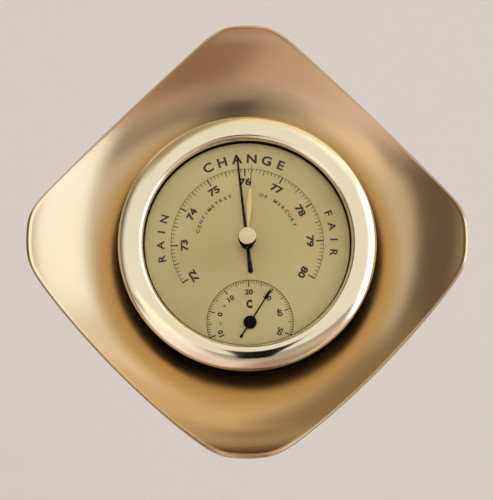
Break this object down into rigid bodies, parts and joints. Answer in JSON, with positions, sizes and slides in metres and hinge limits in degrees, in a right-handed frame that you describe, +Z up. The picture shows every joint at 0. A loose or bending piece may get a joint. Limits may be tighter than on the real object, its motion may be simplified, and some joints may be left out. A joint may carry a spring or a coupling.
{
  "type": "barometer",
  "caption": "Wall barometer with a thermometer in its dial, in a round case set in a dished diamond-shaped surround plate with cut corners.",
  "frame": {"origin": "centre of the case's flat back, on the wall", "axes": "+Z up, +X to the right as the dial is read, -Y out of the wall towards the reader"},
  "size_m": [0.1746, 0.0399, 0.1746],
  "materials": {
    "surround": "satin, pale gold",
    "case": "polished gilt",
    "bezel": "polished, pale gold",
    "rim": "dark satin",
    "glass": "clear",
    "dial": "satin champagne",
    "works_brass": "satin",
    "works_steel": "satin",
    "capsule": "nickelled",
    "hand_black": "gloss black",
    "set_gilt": "polished gilt",
    "knob": "satin, pale gold"
  },
  "bodies": {
    "case": {"base_plate": "works_brass", "base_screw_1": "works_steel", "base_screw_2": "works_steel", "base_screw_3": "works_steel", "bezel": "bezel", "bimetal_coil": "works_steel", "bridge_pillar_1": "works_brass", "bridge_pillar_2": "works_brass", "bridge_screw_1": "works_steel", "bridge_screw_2": "works_steel", "bush_nut": "set_gilt", "capsule": "capsule", "case_cup": "case", "coil_post": "works_brass", "dial_foot_1": "works_brass", "dial_foot_2": "works_brass", "dial_foot_3": "works_brass", "dial_plate": "dial", "dial_rim": "rim", "glass": "glass", "glass_bush": "set_gilt", "hairspring": "works_steel", "hairspring_stud": "works_brass", "main_spring": "works_steel", "ring_nut": "works_steel", "rocker_bearing_left": "works_brass", "rocker_bearing_right": "works_brass", "spring_screw_1": "works_steel", "spring_screw_2": "works_steel", "surround_plate": "surround", "thermo_bracket": "works_brass", "top_bridge": "works_brass", "train_pillar_1": "works_brass", "train_pillar_2": "works_brass", "train_pillar_3": "works_brass", "train_pillar_4": "works_brass", "train_plate": "works_brass", "train_screw_1": "works_steel", "train_screw_2": "works_steel", "train_screw_3": "works_steel", "train_screw_4": "works_steel"},
    "pointer": {"indicating_hand": "hand_black", "hand_bush": "hand_black", "pinion_arbor": "works_steel", "hairspring_collet": "works_brass"},
    "sector": {"sector": "works_brass", "sector_arbor": "works_steel"},
    "rocker": {"rocker": "works_steel"},
    "capsule_post": {"capsule_post": "capsule"},
    "thermometer_hand": {"thermo_arbor": "works_steel", "thermo_hand": "hand_black", "thermo_hub": "hand_black"},
    "set_hand": {"set_knob": "knob", "set_stem": "set_gilt", "set_hand": "set_gilt", "spring_washer": "works_steel"},
    "adjusting_screw": {"adjusting_screw": "works_steel"}
  },
  "joints": [
    {"name": "pointer_turn", "type": "hinge", "parent": "case", "child": "pointer", "pos_m": [0, -0.025, 0], "axis": [0, -1, 0], "range_deg": [-125, 115], "stiffness_Nm_per_rad": 0.0005},
    {"name": "sector_swing", "type": "hinge", "parent": "case", "child": "sector", "pos_m": [-0.022, -0.0189, 0], "axis": [0, -1, 0], "range_deg": [-11.6, 12.6]},
    {"name": "rocker_tilt", "type": "hinge", "parent": "case", "child": "rocker", "pos_m": [0, -0.013, 0], "axis": [1, 0, 0], "range_deg": [-5.9, 6.4]},
    {"name": "capsule_rise", "type": "slide", "parent": "case", "child": "capsule_post", "axis": [0, -1, 0], "range_m": [-0.00046, 0.00043]},
    {"name": "thermometer_turn", "type": "hinge", "parent": "case", "child": "thermometer_hand", "pos_m": [0.00112, -0.0245, -0.03208], "axis": [0, -1, 0], "range_deg": [-74.5, 142.5], "stiffness_Nm_per_rad": 0.0002},
    {"name": "set_hand_turn", "type": "hinge", "parent": "case", "child": "set_hand", "pos_m": [0, -0.0333, 0], "axis": [0, -1, 0], "continuous": true},
    {"name": "adjusting_screw_turn", "type": "hinge", "parent": "case", "child": "adjusting_screw", "pos_m": [0, -0.0012, -0.004], "axis": [0, -1, 0], "range_deg": [-180, 180]}
  ],
  "couplings": [
    {"joint": "sector_swing", "follows": "pointer_turn", "ratio": -0.1},
    {"joint": "rocker_tilt", "follows": "pointer_turn", "ratio": -0.050847},
    {"joint": "capsule_rise", "follows": "pointer_turn", "m_per_rad": 0.00020339}
  ]
}
